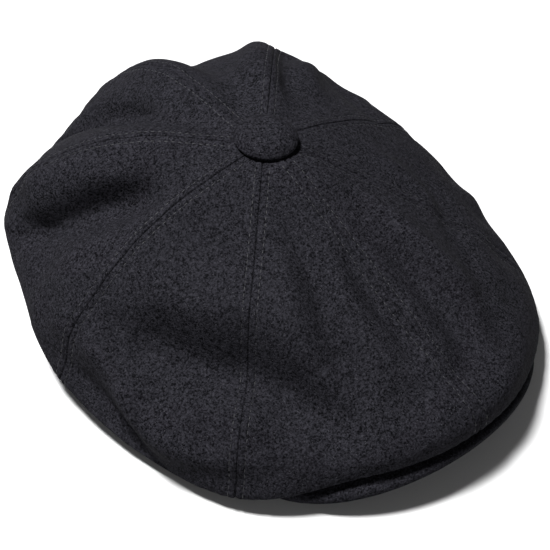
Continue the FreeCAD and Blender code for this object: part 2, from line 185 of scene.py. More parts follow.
# Each line runs through (degrees, t) points. Height is the most that the
# cloth stands out (or in, below zero) in mm; left and right are the widths
# to either side of the line, seen from outside and looking along it.
folds = [
    # right side, the deep fold that runs in from the edge
    {"line": [(-125, .84), (-121, .75), (-118, .66), (-115, .55), (-111, .45), (-108, .38)],
     "height": -12.0, "left": 7, "right": 13, "ends": (.55, .2)},
    {"line": [(-136, .82), (-131, .70), (-127, .58), (-122, .46)],
     "height": 4.0, "left": 12, "right": 9, "ends": (.7, .2)},
    {"line": [(-103, .86), (-101, .74), (-100, .60)],
     "height": 3.0, "left": 11, "right": 13, "ends": (.8, .1)},
    {"line": [(-158, .78), (-161, .64), (-161, .52), (-160, .42)],
     "height": -8.5, "left": 6, "right": 11, "ends": (.9, .3)},
    # the big crease over the right front seam
    {"line": [(-77, .60), (-70, .53), (-58, .50), (-46, .47), (-38, .49), (-31, .56), (-28, .62)],
     "height": 7.0, "left": 22, "right": 13, "ends": (.2, .3)},
    {"line": [(-77, .69), (-67, .65), (-56, .63), (-45, .61), (-37, .65), (-31, .71), (-27, .78)],
     "height": -14.0, "left": 15, "right": 15, "ends": (.4, .45)},
    {"line": [(-66, .76), (-56, .74), (-46, .72), (-38, .76)],
     "height": 3.0, "left": 10, "right": 12, "ends": (.2, .2)},
    {"line": [(-94, .80), (-82, .77), (-75, .79), (-67, .85), (-60, .87), (-50, .84), (-42, .83)],
     "height": 7.0, "left": 14, "right": 8, "ends": (.5, .4)},
    {"line": [(-92, .91), (-82, .90), (-73, .92), (-64, .96)],
     "height": -6.0, "left": 8, "right": 11, "ends": (.4, .3)},
    # long folds that fan out over the front
    {"line": [(-26, .24), (-23, .34), (-22, .45), (-22, .54), (-20, .62), (-19, .70)],
     "height": -6.8, "left": 6, "right": 10, "ends": (.4, .4)},
    {"line": [(-33, .34), (-31, .44), (-30, .54)],
     "height": 2.6, "left": 10, "right": 8, "ends": (.2, .2)},
    {"line": [(-13, .34), (-13, .46), (-13, .60), (-14, .70)],
     "height": 1.6, "left": 10, "right": 8, "ends": (.2, .2)},
    {"line": [(-5, .38), (-5, .48), (-4, .58), (-4, .66)],
     "height": -4.4, "left": 8, "right": 6, "ends": (.2, .2)},
    {"line": [(19, .30), (15, .42), (12, .52), (10, .62), (8, .72), (7, .80)],
     "height": -6.2, "left": 7, "right": 10, "ends": (.4, .4)},
    {"line": [(26, .38), (22, .47), (21, .56), (20, .66)],
     "height": 4.4, "left": 9, "right": 8, "ends": (.2, .2)},
    {"line": [(70, .48), (63, .53), (51, .55), (38, .56), (28, .63), (23, .70), (20, .78)],
     "height": -2.6, "left": 12, "right": 11, "ends": (.4, .3)},
    {"line": [(64, .38), (59, .46), (51, .50), (42, .50)],
     "height": 2.8, "left": 7, "right": 7, "ends": (.2, .2)},
    # the back, where the cloth stands up and hangs over
    {"line": [(131, .60), (129, .46), (121, .30)],
     "height": -4.5, "left": 7, "right": 7, "ends": (.9, .2)},
    {"line": [(140, .66), (143, .50), (146, .32)],
     "height": 4.0, "left": 9, "right": 9, "ends": (.9, .2)},
    {"line": [(161, .68), (160, .54), (158, .42)],
     "height": -3.2, "left": 9, "right": 9, "ends": (1.0, .2)},
    {"line": [(122, .58), (120, .50), (112, .40)],
     "height": 3.0, "left": 8, "right": 7, "ends": (.8, .2)},
    {"line": [(114, .62), (107, .58), (100, .55), (88, .54)],
     "height": -2.8, "left": 8, "right": 8, "ends": (.7, .3)},
    {"line": [(176, .62), (177, .50), (176, .40)],
     "height": 2.4, "left": 10, "right": 10, "ends": (.8, .2)},
    # the front rim's roll, and hollows above the rim at the sides and back
    {"line": [(-34, .87), (-24, .90), (-12, .91), (2, .89), (14, .88), (24, .88)],
     "height": 5.2, "left": 17, "right": 7, "ends": (.2, .2)},
    {"line": [(-60, 1.0), (-42, 1.02), (-20, 1.03), (0, 1.03), (20, 1.03), (38, 1.02), (50, 1.0)],
     "height": 3.2, "left": 8, "right": 8, "ends": (.0, .0)},
    {"line": [(160, .92), (150, .82), (144, .76)],
     "height": -4.0, "left": 10, "right": 12, "ends": (.7, .1)},
    {"line": [(104, .95), (100, .82), (88, .72)],
     "height": -4.0, "left": 11, "right": 11, "ends": (.7, .1)},
    {"line": [(70, .95), (66, .82), (58, .72)],
     "height": 3.0, "left": 12, "right": 12, "ends": (.5, .1)},
    # this line crosses 180 degrees, so it runs the long way round and dents the whole crown
    {"line": [(-172, .95), (-176, .82), (178, .72)],
     "height": -3.4, "left": 11, "right": 11, "ends": (.7, .1)},
]

foldSteps = 60
foldFade = 0.35


def foldRelief(points, normals):
    # how far the folds push each point of the crown out along its normal, in mm
    total = np.zeros(len(points))
    for fold in folds:
        marks = np.array(fold["line"], float)
        last = len(marks) - 1
        q = np.linspace(0, last, foldSteps)
        index = np.minimum(q.astype(int), last - 1)
        f = q - index
        line = []
        for column in range(2):
            values = np.concatenate([[2 * marks[0, column] - marks[1, column]], marks[:, column],
                                     [2 * marks[-1, column] - marks[-2, column]]])
            line.append(cubic(*(values[index + k] for k in range(4)), f))
        spine = crownSkin(np.radians(line[0]), line[1])
        tangent = unit(np.gradient(spine, axis=0))
        share = q / last
        startShare, endShare = fold["ends"]
        strength = 1 - (1 - startShare) * np.clip(1 - share / foldFade, 0, 1) ** 2
        strength -= (1 - endShare) * np.clip(1 - (1 - share) / foldFade, 0, 1) ** 2
        offset = points[:, None, :] - spine[None]
        distance = np.linalg.norm(offset, axis=-1)
        nearest = distance.argmin(axis=1)
        pick = np.arange(len(points))
        away = offset[pick, nearest]
        onLeft = np.einsum("ij,ij->i", away, np.cross(normals, tangent[nearest])) > 0
        width = np.where(onLeft, fold["left"], fold["right"])
        total += fold["height"] * strength[nearest] * np.exp(-(distance[pick, nearest] / width) ** 2)
    return total


# length of the waves and their height, in mm
ripple = {"broad": (48.0, 0.9), "middle": (19.0, 0.30), "fine": (7.5, 0.10)}


def clothRipple(points):
    total = np.zeros(len(points))
    for size, height in ripple.values():
        total += height * noiseAt(points, size)
    return total


seam = {
    "edgeColumns": [0, .3, .6, .95, 1.4, 2.0, 2.6, 3.1, 3.6, 4.1, 4.8, 5.8, 7.2, 9.0, 11.5],
    "groove": 0.80,
    "grooveWidth": 0.36,
    "allowance": 0.16,
    "stitchLine": 3.6,
    "stitchDip": 0.32,
    "pucker": 0.60,
    "puckerLength": 11.0,
    "puckerAt": 2.5,
    "puckerWidth": 6.5,
    "allowanceAt": 2.1,
    "allowanceWidth": 1.7,
    "turnedAt": 5.6,
    "turnedWidth": 2.2,
    "dipWidth": 0.55,
}


def seamRelief(distance, along, seamIndex):
    # cloth turned down into the seam, the allowance under it and the stitched line
    total = -seam["groove"] * np.exp(-(distance / seam["grooveWidth"]) ** 2)
    total += seam["allowance"] * np.exp(-((distance - seam["allowanceAt"]) / seam["allowanceWidth"]) ** 2)
    total += 0.5 * seam["allowance"] * np.exp(-((distance - seam["turnedAt"]) / seam["turnedWidth"]) ** 2)
    total -= seam["stitchDip"] * np.exp(-((distance - seam["stitchLine"]) / seam["dipWidth"]) ** 2)
    wave = np.array([noise.noise(Vector((7.3 * i, s / seam["puckerLength"], 0.5)))
                     for i, s in zip(seamIndex, along)])
    near = np.exp(-((distance - seam["puckerAt"]) / seam["puckerWidth"]) ** 2)
    return total + seam["pucker"] * wave * near


def deselect():
    bpy.ops.object.select_all(action="DESELECT")


def applyAll(piece):
    deselect()
    piece.select_set(True)
    bpy.context.view_layer.objects.active = piece
    for modifier in list(piece.modifiers):
        bpy.ops.object.modifier_apply(modifier=modifier.name)


def cutCloth(name, across, along, place, thickness, inside=(0, 0, 20), join=False, round=0.0, smooth=45):
    # a flat grid is the cut cloth; place(u, v) gives each point's place and its spot on the cloth in mm
    deselect()
    bpy.ops.mesh.primitive_grid_add(x_subdivisions=across, y_subdivisions=along, size=1)
    piece = bpy.context.object
    piece.name = name
    mesh = piece.data
    mesh.name = name
    flat = np.zeros(len(mesh.vertices) * 3)
    mesh.vertices.foreach_get("co", flat)
    flat = flat.reshape(-1, 3) + 0.5
    column = np.rint(flat[:, 0] * across).astype(int)
    row = np.rint(flat[:, 1] * along).astype(int)
    v, u = np.meshgrid(np.linspace(0, 1, along + 1), np.linspace(0, 1, across + 1), indexing="ij")
    points, spots = place(u, v)
    mesh.vertices.foreach_set("co", (points[row, column] * mm).ravel())
    corners = np.zeros(len(mesh.loops), dtype=np.int32)
    mesh.loops.foreach_get("vertex_index", corners)
    mesh.uv_layers[0].data.foreach_set("uv", (spots[row, column] * mm)[corners].ravel())
    mesh.update()
    outward = sum((face.center - Vector(inside) * mm).dot(face.normal) * face.area
                  for face in mesh.polygons)
    if outward < 0:
        mesh.flip_normals()
    if join:
        bpy.ops.object.mode_set(mode="EDIT")
        bpy.ops.mesh.select_all(action="SELECT")
        bpy.ops.mesh.remove_doubles(threshold=0.00001)
        bpy.ops.object.mode_set(mode="OBJECT")
    if thickness:
        wall = piece.modifiers.new("wall", "SOLIDIFY")
        wall.thickness = thickness * mm
        wall.offset = -1
    if round:
        edge = piece.modifiers.new("edge", "BEVEL")
        edge.width = round * mm
        edge.segments = 3
        edge.limit_method = "ANGLE"
        edge.angle_limit = math.radians(60)
    applyAll(piece)
    bpy.ops.object.shade_smooth_by_angle(angle=math.radians(smooth))
    return piece


def finishPiece(piece, material, nodes=(), body="cap"):
    piece.data.materials.clear()
    piece.data.materials.append(material)
    if body:
        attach(piece, body)
    if nodes:
        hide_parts(*nodes)


class Wire:
    # one output in a node tree; sums and products of outputs add maths nodes
    def __init__(self, tree, socket=None):
        self.tree = tree
        self.socket = socket

    def add(self, kind, settings=None, inputs=None, output=0):
        node = self.tree.nodes.new(kind)
        for name, value in (settings or {}).items():
            setattr(node, name, value)
        for name, value in (inputs or {}).items():
            if isinstance(value, Wire):
                self.tree.links.new(value.socket, node.inputs[name])
            else:
                node.inputs[name].default_value = value
        return Wire(self.tree, node.outputs[output])

    def maths(self, operation, a, b):
        return self.add("ShaderNodeMath", {"operation": operation}, {0: a, 1: b})

    def __add__(self, other):
        return self.maths("ADD", self, other)

    def __sub__(self, other):
        return self.maths("SUBTRACT", self, other)

    def __rsub__(self, other):
        return self.maths("SUBTRACT", other, self)

    def __mul__(self, other):
        return self.maths("MULTIPLY", self, other)

    __radd__ = __add__
    __rmul__ = __mul__


def startMaterial(name, constants):
    material = bpy.data.materials.new(name)
    material.use_nodes = True
    tree = material.node_tree
    shader = tree.nodes["Principled BSDF"]
    for socket, value in constants.items():
        shader.inputs[socket].default_value = value
    return material, shader, Wire(tree)


def plug(wire, shader, **links):
    for name, value in links.items():
        wire.tree.links.new(value.socket, shader.inputs[name.replace("_", " ")])


def grain(wire, where, size, detail=2.0, rough=0.5, twist=0.0):
    return wire.add("ShaderNodeTexNoise", {},
                    {"Vector": where, "Scale": 1 / (size * mm), "Detail": detail,
                     "Roughness": rough, "Distortion": twist})


def blendColours(wire, mask, dark, light):
    return wire.add("ShaderNodeMix", {"data_type": "RGBA"}, {0: mask, 6: dark, 7: light}, output=2)


def bandScale(width):
    return 1 / (width * mm) / (2 * math.pi)


def contrast(wire, value, low, high):
    return wire.add("ShaderNodeMapRange", {"clamp": True},
                    {"Value": value, "From Min": low, "From Max": high})


def bump(wire, height, depth, strength=1.0):
    return wire.add("ShaderNodeBump", {}, {"Height": height, "Distance": depth * mm, "Strength": strength})


wool = {
    "dark": (0.0009, 0.0009, 0.0013, 1),
    "light": (0.0200, 0.0196, 0.0243, 1),
    "lint": (0.048, 0.047, 0.053, 1),
    "fibre": 1.0,
    "clump": 2.6,
    "lintSpacing": 2.2,
    "broad": 38.0,
    "shine": 0.03,
    "worn": (0.0105, 0.0103, 0.0130, 1),
}


def woolMelton():
    material, shader, wire = startMaterial("woolMelton", {"Specular IOR Level": wool["shine"]})
    where = wire.add("ShaderNodeTexCoord", output=3)
    fibre = grain(wire, where, wool["fibre"], 3.0, 0.62, 0.6)
    clump = grain(wire, where, wool["clump"], 2.0, 0.5)
    broad = grain(wire, where, wool["broad"], 2.0, 0.5)
    speckle = contrast(wire, fibre * 0.8 + clump * 0.2, 0.40, 0.64)
    base = blendColours(wire, speckle, wool["dark"], wool["light"])
    worn = blendColours(wire, contrast(wire, broad, 0.3, 0.7) * 0.15, base, wool["worn"])
    spots = wire.add("ShaderNodeTexVoronoi", {"feature": "F1"},
                     {"Vector": where, "Scale": 1 / (wool["lintSpacing"] * mm), "Randomness": 1.0})
    lint = contrast(wire, 1 - spots, 0.86, 0.93)
    colour = blendColours(wire, lint * 0.6, worn, wool["lint"])
    rough = speckle * 0.08 + 0.88
    nap = fibre * 0.75 + clump * 0.55 + lint * 0.15
    plug(wire, shader, Base_Color=colour, Roughness=rough, Normal=bump(wire, nap, 0.55, 0.8))
    return material


def threadMaterial():
    material, shader, wire = startMaterial("topstitchThread", {"Specular IOR Level": 0.25})
    where = wire.add("ShaderNodeTexCoord", output=3)
    ply = grain(wire, where, 0.5, 2.0, 0.5, 1.0)
    colour = blendColours(wire, contrast(wire, ply, 0.35, 0.65), (0.0040, 0.0040, 0.0048, 1),
                          (0.016, 0.016, 0.019, 1))
    plug(wire, shader, Base_Color=colour, Roughness=ply * 0.2 + 0.42, Normal=bump(wire, ply, 0.12))
    return material


def liningSatin():
    material, shader, wire = startMaterial("liningSatin", {
        "Specular IOR Level": 0.5, "Sheen Weight": 0.1, "Anisotropic": 0.55})
    spot = wire.add("ShaderNodeUVMap")
    warp = wire.add("ShaderNodeTexWave", {"wave_type": "BANDS", "bands_direction": "X"},
                    {"Vector": spot, "Scale": bandScale(1.8), "Distortion": 0.4,
                     "Detail": 1.0})
    weft = wire.add("ShaderNodeTexWave", {"wave_type": "BANDS", "bands_direction": "Y"},
                    {"Vector": spot, "Scale": bandScale(1.0), "Distortion": 0.3,
                     "Detail": 1.0})
    slub = grain(wire, wire.add("ShaderNodeTexCoord", output=3), 14.0, 3.0, 0.6)
    weave = warp * 0.6 + weft * 0.4
    colour = blendColours(wire, weave * 0.5 + slub * 0.5, (0.0085, 0.0088, 0.0115, 1),
                          (0.026, 0.027, 0.034, 1))
    plug(wire, shader, Base_Color=colour, Roughness=slub * 0.16 + weave * 0.06 + 0.24,
         Normal=bump(wire, weave + slub * 2.0, 0.06))
    return material


def bandTwill():
    material, shader, wire = startMaterial("sweatbandTwill", {
        "Specular IOR Level": 0.3, "Sheen Weight": 0.2, "Sheen Roughness": 0.5})
    spot = wire.add("ShaderNodeMapping", {}, {"Vector": wire.add("ShaderNodeUVMap"),
                                              "Rotation": (0, 0, math.radians(62))})
    rib = wire.add("ShaderNodeTexWave", {"wave_type": "BANDS", "bands_direction": "X"},
                   {"Vector": spot, "Scale": bandScale(0.55), "Distortion": 0.5,
                    "Detail": 1.5, "Detail Scale": 2.0})
    yarn = grain(wire, wire.add("ShaderNodeTexCoord", output=3), 0.6, 2.0, 0.6)
    wear = grain(wire, wire.add("ShaderNodeTexCoord", output=3), 22.0, 3.0, 0.6)
    tone = rib * 0.55 + yarn * 0.3 + wear * 0.25
    colour = blendColours(wire, contrast(wire, tone, 0.25, 0.85), (0.0100, 0.0100, 0.0120, 1),
                          (0.044, 0.044, 0.050, 1))
    plug(wire, shader, Base_Color=colour, Roughness=yarn * 0.14 + 0.70,
         Normal=bump(wire, rib * 0.8 + yarn * 0.4, 0.16))
    return material


def plainSolid(name, dark, light, grainSize, roughness, metallic=0.0, depth=0.03, specular=0.5):
    # moulded or metal parts, with fine grain, faint marks and uneven gloss
    material, shader, wire = startMaterial(name, {"Metallic": metallic, "Specular IOR Level": specular})
    where = wire.add("ShaderNodeTexCoord", output=3)
    fine = grain(wire, where, grainSize, 3.0, 0.6)
    marks = grain(wire, where, grainSize * 12, 4.0, 0.65, 1.5)
    colour = blendColours(wire, fine * 0.5 + marks * 0.5, dark, light)
    plug(wire, shader, Base_Color=colour, Roughness=marks * 0.18 + fine * 0.08 + (roughness - 0.13),
         Normal=bump(wire, fine + marks * 0.6, depth))
    return material


melton = woolMelton()
thread = threadMaterial()
satin = liningSatin()
twill = bandTwill()
print("materials made")


def rowStops(count):
    # rows lie closer where the profile turns
    t = np.linspace(0.02, 2, 2401)
    angle = np.radians(100)
    path = crownSkin(angle, t)
    flat = np.stack([path[:, :2] @ heading(angle), path[:, 2]], axis=1)
    step = np.diff(flat, axis=0)
    turning = np.abs(np.diff(np.unwrap(np.arctan2(step[:, 1], step[:, 0])), append=0))
    turning[-1] = 0
    weight = np.concatenate([[0], np.cumsum(np.linalg.norm(step, axis=1) + crown["turnWeight"] * turning)])
    return np.interp(np.linspace(0, weight[-1], count), weight, t)


crownRows = rowStops(crown["rows"] + 1)
goreColumns = 2 * len(seam["edgeColumns"]) + crown["middleColumns"] - 1


def clothHeight(angle, t):
    # the plain skin, its normal, and how far folds and ripples raise the cloth
    base = crownSkin(angle, t)
    normal = skinNormal(angle, t)
    flatBase = base.reshape(-1, 3)
    raised = foldRelief(flatBase, normal.reshape(-1, 3)) + clothRipple(flatBase)
    raised = raised.reshape(t.shape)
    # the underside over the visor stays as it is cut
    angleFront = np.abs(np.mod(angle + np.pi, 2 * np.pi) - np.pi)
    beyondRim = np.clip((t - 1.0) / crown["rimFade"], 0, 1)
    overVisor = np.clip((crown["visorSide"] - angleFront) / crown["visorFade"], 0, 1)
    keep = 1 - beyondRim * overVisor
    raised *= keep
    return base, normal, raised


def gorePlace(first):
    # the gore between the seam at this angle and the next one, 45 degrees on
    def place(u, v):
        rows, columns = u.shape
        sweep = np.linspace(first, first + 45, 65)
        t = crownRows
        outline = crownSkin(np.radians(sweep)[None, :], t[:, None])
        arc = np.cumsum(np.linalg.norm(np.diff(outline, axis=1), axis=-1), axis=1)
        arc = np.concatenate([np.zeros((rows, 1)), arc], axis=1)
        wide = arc[:, -1]
        edge = np.array(seam["edgeColumns"])
        distance = np.zeros((rows, columns))
        angle = np.zeros((rows, columns))
        for i in range(rows):
            scale = min(1.0, wide[i] / 2 / (edge[-1] * 1.35))
            inner = np.linspace(edge[-1] * scale, wide[i] - edge[-1] * scale,
                                crown["middleColumns"] + 2)[1:-1]
            spots = np.concatenate([edge * scale, inner, (wide[i] - edge * scale)[::-1]])
            angle[i] = np.radians(np.interp(spots, arc[i], sweep))
            distance[i] = spots
        tt = np.repeat(t[:, None], columns, axis=1)
        nearFirst = distance < wide[:, None] / 2
        away = np.where(nearFirst, distance, wide[:, None] - distance)
        firstSeam = round(first / 45) % 8
        nextSeam = (firstSeam + 1) % 8
        seamNumber = np.where(nearFirst, firstSeam, nextSeam)
        along = np.zeros((rows, columns))
        for number, edgeAngle in ((firstSeam, first), (nextSeam, first + 45)):
            path = crownSkin(math.radians(edgeAngle), t)
            run = runLength(path)
            along = np.where(seamNumber == number, run[:, None], along)
        base, normal, raised = clothHeight(angle, tt)
        stitched = seamRelief(away.ravel(), along.ravel(), seamNumber.ravel()).reshape(rows, columns)
        points = base + normal * (raised + stitched)[..., None]
        middle = distance - wide[:, None] / 2
        return points, np.stack([middle, along], axis=-1)
    return place


# width and length in metres and area in square metres, seam allowance counted
goreCuts = {
    "front": (0.117, 0.240, 0.0184),
    "side_front": (0.110, 0.225, 0.0162),
    "side_back": (0.104, 0.215, 0.0150),
    "back": (0.108, 0.225, 0.0160),
}
goreStarts = {}
for i, name in enumerate(goreCuts):
    goreStarts[name + "_left"] = i * 45
    goreStarts[name + "_right"] = -(i + 1) * 45

for name, first in goreStarts.items():
    gore = cutCloth("gore_" + name, goreColumns, crown["rows"], gorePlace(first),
                    crown["cloth"], inside=(0, 0, 30), smooth=70)
    finishPiece(gore, melton, ["crown_panel_" + name])
print("crown gores cut")


stitchSize = {"pitch": 3.5, "length": 2.5, "width": 0.62, "height": 0.5, "sink": 0.02,
              "start": 17.5}
deselect()
bpy.ops.mesh.primitive_uv_sphere_add(segments=8, ring_count=5, radius=0.5)
stitchModel = bpy.context.object
stitchPoints = np.array([p.co for p in stitchModel.data.vertices])[:, [2, 1, 0]]
stitchFaces = [list(face.vertices)[::-1] for face in stitchModel.data.polygons]
bpy.data.objects.remove(stitchModel)


def stitchRow(name, centres, tangents, normals):
    # one stitch, copied to each place along the row
    tangents = unit(tangents)
    sides = unit(np.cross(normals, tangents))
    ups = np.cross(tangents, sides)
    shape = stitchPoints * np.array([stitchSize["length"], stitchSize["width"], stitchSize["height"]])
    shape[:, 2] -= stitchSize["sink"]
    points, faces = [], []
    for n, (centre, x, y, z) in enumerate(zip(centres, tangents, sides, ups)):
        points.append(centre + shape[:, :1] * x + shape[:, 1:2] * y + shape[:, 2:] * z)
        faces += [[corner + n * len(shape) for corner in face] for face in stitchFaces]
    mesh = bpy.data.meshes.new(name)
    mesh.from_pydata((np.concatenate(points) * mm).tolist(), [], faces)
    mesh.validate()
    piece = bpy.data.objects.new(name, mesh)
    bpy.context.scene.collection.objects.link(piece)
    mesh.shade_smooth()
    finishPiece(piece, thread)


def evenly(points, pitch, first):
    # places along a path, this far apart, and the path's own run
    run = runLength(points)
    return np.arange(first, run[-1], pitch), run


def seamStitches(name, degree, number):
    t = np.linspace(0.05, 1.995, 1200)
    angle = math.radians(degree)
    path = crownSkin(angle, t)
    start = np.argmax(np.linalg.norm(path[:, :2] - np.array(crown["apex"]), axis=1) > stitchSize["start"])
    t, path = t[start:], path[start:]
    spots, run = evenly(path, stitchSize["pitch"], 1.0)
    stops = np.interp(spots, run, t)
    centres, tangents, normals = [], [], []
    fullRun = runLength(crownSkin(angle, crownRows))
    for side in (-1, 1):
        lines = []
        for shift in (-0.004, 0.004):
            s = np.clip(stops + shift, 0.03, 2)
            wide = np.linalg.norm(crownSkin(angle + 0.01, s) - crownSkin(angle - 0.01, s), axis=1) / 0.02
            a = angle + side * seam["stitchLine"] / wide
            away = np.full(len(s), seam["stitchLine"])
            along = np.interp(s, crownRows, fullRun)
            base, normal, raised = clothHeight(a, s)
            raised = raised + seamRelief(away, along, np.full(len(s), number))
            lines.append(base + normal * raised[:, None])
        centres.append((lines[0] + lines[1]) / 2)
        tangents.append(lines[1] - lines[0])
        normals.append(normal)
    stitchRow("topstitch_" + name, np.concatenate(centres), np.concatenate(tangents),
              np.concatenate(normals))


seamNames = ["front", "front_left", "left", "back_left", "back", "back_right", "right", "front_right"]
for number, name in enumerate(seamNames):
    seamStitches(name, number * 45, number)
print("topstitching sewn")


lining = {
    "gap": 2.6, "thickness": 0.4, "short": 10.0, "lift": 7.0, "over": 6.0, "rise": 4.5,
    "rows": 96, "columns": 36, "pleat": 0.5, "pleatCount": 9, "pleatStart": 0.80,
    "sag": 0.9, "sagSize": 23, "crease": 0.35, "creaseSize": 8, "seamDip": 0.7, "stillEnd": 0.12,
    "corner": 0.93,
    "stops": [0.02] + [0.02 * k for k in range(4, 40)] + [1.55, 1.70],
}


def liningMarks(angle):
    # points of the lining's profile at each angle, from the button to the sweatband
    depth = crown["cloth"] + lining["gap"]
    marks = []
    for t in lining["stops"]:
        base, normal, raised = clothHeight(angle, np.full(angle.shape, t))
        marks.append(base + normal * (raised - depth)[..., None])
    way = heading(angle)
    reach = around(crown["reach"], angle) - lining["short"]
    corner = np.concatenate([way * reach[..., None],
                             (around(crown["foldHeight"], angle) + lining["lift"])[..., None]], axis=-1)
    base, normal, raised = clothHeight(angle, np.full(angle.shape, lining["corner"]))
    corner += normal * np.minimum(raised, 0)[..., None]
    marks.insert(-2, corner)
    end = ovalRadius(band["sweatCloth"], angle) + crown["seamGap"]
    rim = band["outerHeight"] + bandRise(-end * np.cos(angle))
    for out, up in ((lining["over"], 0.6 * lining["rise"]), (0.0, lining["rise"])):
        marks.append(np.concatenate([way * (end + out)[..., None], (rim + up)[..., None]], axis=-1))
    return np.stack(marks)


def smoothThrough(marks, stops, v):
    # a smooth curve through the marks, which lie at these stops along it
    slope = np.zeros_like(marks)
    gap = np.diff(stops)
    slope[1:-1] = (marks[2:] - marks[:-2]) / (gap[1:] + gap[:-1])[:, None, None]
    slope[0] = (marks[1] - marks[0]) / gap[0]
    slope[-1] = (marks[-1] - marks[-2]) / gap[-1]
    index = np.clip(np.searchsorted(stops, v, side="right") - 1, 0, len(gap) - 1)
    h = gap[index]
    f = ((v - stops[index]) / h)[:, None, None]
    h = h[:, None, None]
    return ((2 * f ** 3 - 3 * f ** 2 + 1) * marks[index] + (f ** 3 - 2 * f ** 2 + f) * h * slope[index]
            + (3 * f ** 2 - 2 * f ** 3) * marks[index + 1] + (f ** 3 - f ** 2) * h * slope[index + 1])


def liningPlace(first):
    def place(u, v):
        angle = np.radians(first + 45 * u[0])
        marks = liningMarks(angle)
        side = liningMarks(np.radians(np.array([90.0])))[:, 0]
        stops = runLength(side)
        points = smoothThrough(marks, stops, v[:, 0] * stops[-1])
        across = np.linalg.norm(np.gradient(points, axis=1), axis=-1)
        wide = across.sum(axis=1, keepdims=True)
        distance = np.minimum(u, 1 - u) * wide
        inward = unit(np.cross(np.gradient(points, axis=1), np.gradient(points, axis=0)))
        inward *= np.sign((inward * (np.array([0, 0, 35.0]) - points)).sum(-1, keepdims=True))
        inner = np.clip((1 - v) / lining["stillEnd"], 0, 1)
        depth = lining["sag"] * np.abs(noiseAt(points, lining["sagSize"], (3, 3, 3)))
        depth += lining["crease"] * noiseAt(points, lining["creaseSize"], (9, 1, 3))
        depth *= inner * np.exp(-0.5 * np.exp(-(distance / 3) ** 2))
        depth += lining["seamDip"] * np.exp(-distance ** 2)
        pleats = np.clip((v - lining["pleatStart"]) / 0.2, 0, 1) ** 2
        wave = np.sin(u * 2 * np.pi * lining["pleatCount"])
        depth += lining["pleat"] * pleats * wave * np.clip(distance / 4, 0, 1) * inner
        spots = np.stack([(u - 0.5) * wide, v * stops[-1]], axis=-1)
        return points + inward * depth[..., None], spots
    return place


for name, first in goreStarts.items():
    piece = cutCloth("lining_" + name, lining["columns"], lining["rows"], liningPlace(first),
                     lining["thickness"], inside=(0, 0, 30), smooth=70)
    finishPiece(piece, satin, ["lining_panel_" + name])
print("lining hung")


def bandPlace(offset, low, high, wobble, size):
    # a tape stood on its edge round the head, joined at the back
    def place(u, v):
        angle = np.pi + u * 2 * np.pi
        radius = ovalRadius(offset, angle)
        y = -radius * np.cos(angle)
        height = low + (high - low) * v
        flat = np.stack([radius * np.sin(angle), y, height + bandRise(y)], axis=-1)
        away = np.minimum(u, 1 - u) * 2 * np.pi * band["meanRadius"]
        push = noiseAt(flat, size) * wobble - 0.5 * np.exp(-(away / 1.1) ** 2)
        points = flat + np.concatenate([heading(angle) * push[..., None],
                                        np.zeros(u.shape)[..., None]], axis=-1)
        return points, np.stack([u * 2 * np.pi * band["meanRadius"], height], axis=-1)
    return place


outerBand = cutCloth("outer_band_cloth", band["around"], 18,
                     bandPlace(band["faceOffset"], 0.0, band["outerHeight"], 0.30, 22.0),
                     band["outerCloth"], join=True, round=0.6)
finishPiece(outerBand, melton, ["outer_band"])

sweatTape = cutCloth("sweatband_tape", band["around"], 20,
                     bandPlace(band["sweatCloth"], 0.0, band["sweatHeight"], 0.0, 22.0),
                     band["sweatCloth"], join=True, round=0.4)
finishPiece(sweatTape, twill, ["sweatband"])


def bandStitches(name, offset, height, outward, pitch=stitchSize["pitch"]):
    angle = np.linspace(0, 2 * np.pi, 3001)
    radius = ovalRadius(offset, angle)
    y = -radius * np.cos(angle)
    path = np.stack([radius * np.sin(angle), y, height + bandRise(y)], axis=1)
    spots, run = evenly(path, pitch, 0.5)
    centres = np.stack([np.interp(spots, run, path[:, k]) for k in range(3)], axis=1)
    tangents = np.stack([np.interp(spots, run, np.gradient(path[:, k])) for k in range(3)], axis=1)
    normals = outward * unit(centres * np.array([1, 1, 0]))
    stitchRow(name, centres, tangents, normals)


bandStitches("band_hem_stitches", band["faceOffset"] + 0.1, 3.0, 1)
bandStitches("sweatband_stitches", -0.02, 2.4, -1)
bandStitches("sweatband_top_stitches", -0.02, band["sweatHeight"] - 2.2, -1, 2.8)
print("band sewn")


visor = {
    "half": 93.5, "widestY": -96.5, "reach": 69.0, "tipY": -48.0, "rootHeight": 28.0,
    "slope": math.tan(math.radians(5)), "arch": 190.0, "thick": 2.6, "cloth": 1.5,
    "clearance": 1.2, "columns": 150, "rows": 44, "edgeRows": 9, "ripple": 0.22, "rippleSize": 26,
    "flat": (0.187, 0.121), "flatArea": 0.0118,
}


def visorHeight(x, y, depth):
    # the visor is a piece of a wide tube, tilted; depth is from its middle layer
    lean = visor["slope"] * (y + band["headLength"] / 2 + band["faceOffset"])
    return visor["rootHeight"] - visor["arch"] + lean + np.sqrt((visor["arch"] + depth) ** 2 - x ** 2)


def spaced(points, count):
    run = runLength(points)
    spots = np.linspace(0, run[-1], count)
    return np.stack([np.interp(spots, run, points[:, k]) for k in range(2)], axis=1)


